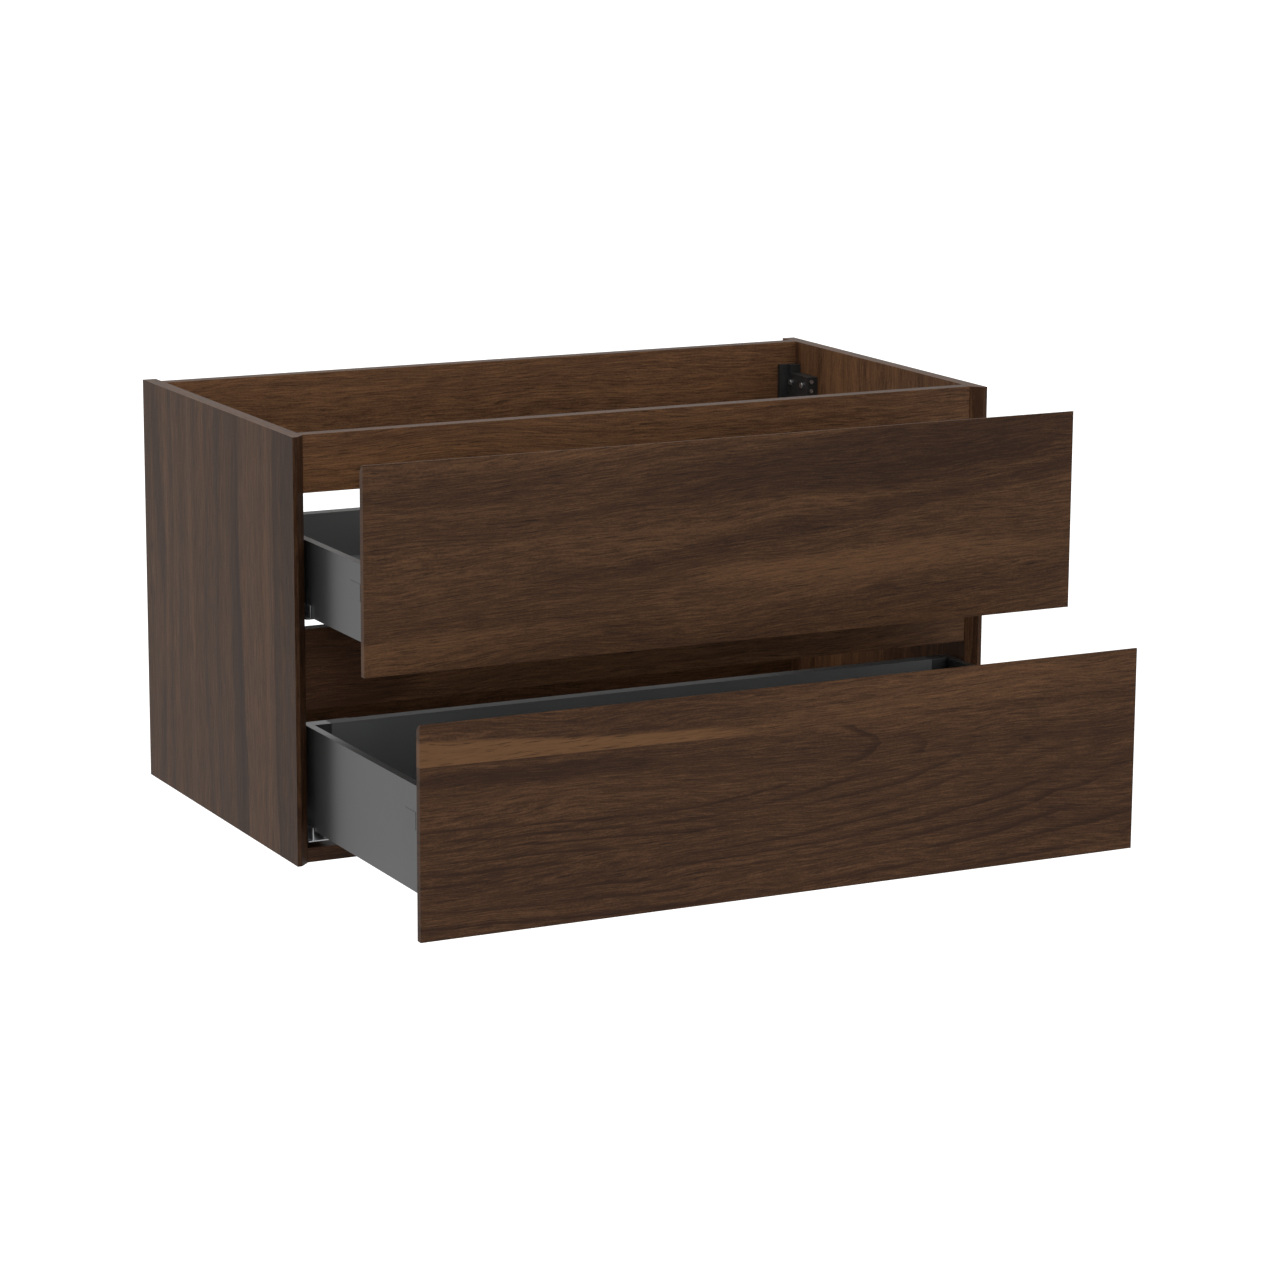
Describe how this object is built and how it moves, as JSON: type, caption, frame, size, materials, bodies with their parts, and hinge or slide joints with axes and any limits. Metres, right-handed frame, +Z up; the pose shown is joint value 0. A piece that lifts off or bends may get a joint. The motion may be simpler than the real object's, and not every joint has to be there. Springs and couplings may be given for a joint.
{
  "type": "bathroom vanity cabinet",
  "caption": "Wall-hung vanity cabinet with an open top for a basin and full-width handle-less drawers on metal sides and runners.",
  "frame": {"origin": "centre of the rectangle of the wall plates' four holes, on the wall", "axes": "+X along the cabinet's width to the right seen from the front, +Y from the front into the wall, +Z up; the drawers open along -Y"},
  "size_m": [0.86, 0.785, 0.47],
  "materials": {
    "walnut_board": "matt dark walnut foil, grain along the fronts and upright on the side panels",
    "drawer_back_board": "matt grey melamine board",
    "drawer_base_board": "matt grey melamine board",
    "drawer_metal": "silk-matt anthracite powder coat",
    "grey_plastic": "fine matt grain",
    "black_plastic": "moulded, fine spark grain",
    "beech": "plain, fluted",
    "zinc_casting": "die-cast, dull",
    "roller_plastic": "natural acetal",
    "screw_steel": "bright zinc plate",
    "galvanised_steel": "galvanised sheet"
  },
  "bodies": {
    "carcass": {"side_panel_left": "walnut_board", "side_panel_right": "walnut_board", "bottom_panel": "walnut_board", "front_top_rail": "walnut_board", "front_mid_rail": "walnut_board", "rear_top_rail": "walnut_board", "rear_bottom_rail": "walnut_board", "wood_dowels": "beech", "cam_housings": "zinc_casting", "cam_bolts": "screw_steel", "hanger_housing_left": "black_plastic", "hanger_housing_right": "black_plastic", "hanger_fixing_screws": "screw_steel", "hanger_adjusting_screws": "screw_steel", "wall_plate_left": "galvanised_steel", "wall_plate_right": "galvanised_steel", "runner_screws": "screw_steel", "upper_runner_profile_left": "galvanised_steel", "upper_runner_profile_right": "galvanised_steel", "lower_runner_profile_left": "galvanised_steel", "lower_runner_profile_right": "galvanised_steel"},
    "left_hook": {"hanger_hook_left": "galvanised_steel"},
    "right_hook": {"hanger_hook_right": "galvanised_steel"},
    "upper_middle_runner": {"upper_middle_member_left": "galvanised_steel", "upper_middle_member_right": "galvanised_steel", "upper_rollers": "roller_plastic"},
    "lower_middle_runner": {"lower_middle_member_left": "galvanised_steel", "lower_middle_member_right": "galvanised_steel", "lower_rollers": "roller_plastic"},
    "upper_drawer": {"upper_front": "walnut_board", "upper_side_left": "drawer_metal", "upper_side_right": "drawer_metal", "upper_back": "drawer_back_board", "upper_base": "drawer_base_board", "upper_drawer_member_left": "galvanised_steel", "upper_drawer_member_right": "galvanised_steel", "upper_back_bracket_left": "drawer_metal", "upper_back_bracket_right": "drawer_metal", "upper_front_brackets": "galvanised_steel", "upper_bracket_caps": "grey_plastic", "upper_screws": "screw_steel"},
    "lower_drawer": {"lower_front": "walnut_board", "lower_side_left": "drawer_metal", "lower_side_right": "drawer_metal", "lower_back": "drawer_back_board", "lower_base": "drawer_base_board", "lower_drawer_member_left": "galvanised_steel", "lower_drawer_member_right": "galvanised_steel", "lower_back_bracket_left": "drawer_metal", "lower_back_bracket_right": "drawer_metal", "lower_front_brackets": "galvanised_steel", "lower_bracket_caps": "grey_plastic", "lower_screws": "screw_steel"}
  },
  "joints": [
    {"name": "upper_drawer_slide", "type": "slide", "parent": "carcass", "child": "upper_drawer", "axis": [0, -1, 0], "range_m": [-0.171, 0.179]},
    {"name": "lower_drawer_slide", "type": "slide", "parent": "carcass", "child": "lower_drawer", "axis": [0, -1, 0], "range_m": [-0.311, 0.039]},
    {"name": "upper_middle_slide", "type": "slide", "parent": "carcass", "child": "upper_middle_runner", "axis": [0, -1, 0], "range_m": [-0.0855, 0.0895]},
    {"name": "lower_middle_slide", "type": "slide", "parent": "carcass", "child": "lower_middle_runner", "axis": [0, -1, 0], "range_m": [-0.1555, 0.0195]},
    {"name": "left_hook_adjust", "type": "slide", "parent": "carcass", "child": "left_hook", "axis": [0, 0, 1], "range_m": [0, 0.01]},
    {"name": "right_hook_adjust", "type": "slide", "parent": "carcass", "child": "right_hook", "axis": [0, 0, 1], "range_m": [0, 0.01]}
  ],
  "couplings": [
    {"joint": "upper_middle_slide", "follows": "upper_drawer_slide", "ratio": 0.5},
    {"joint": "lower_middle_slide", "follows": "lower_drawer_slide", "ratio": 0.5}
  ]
}
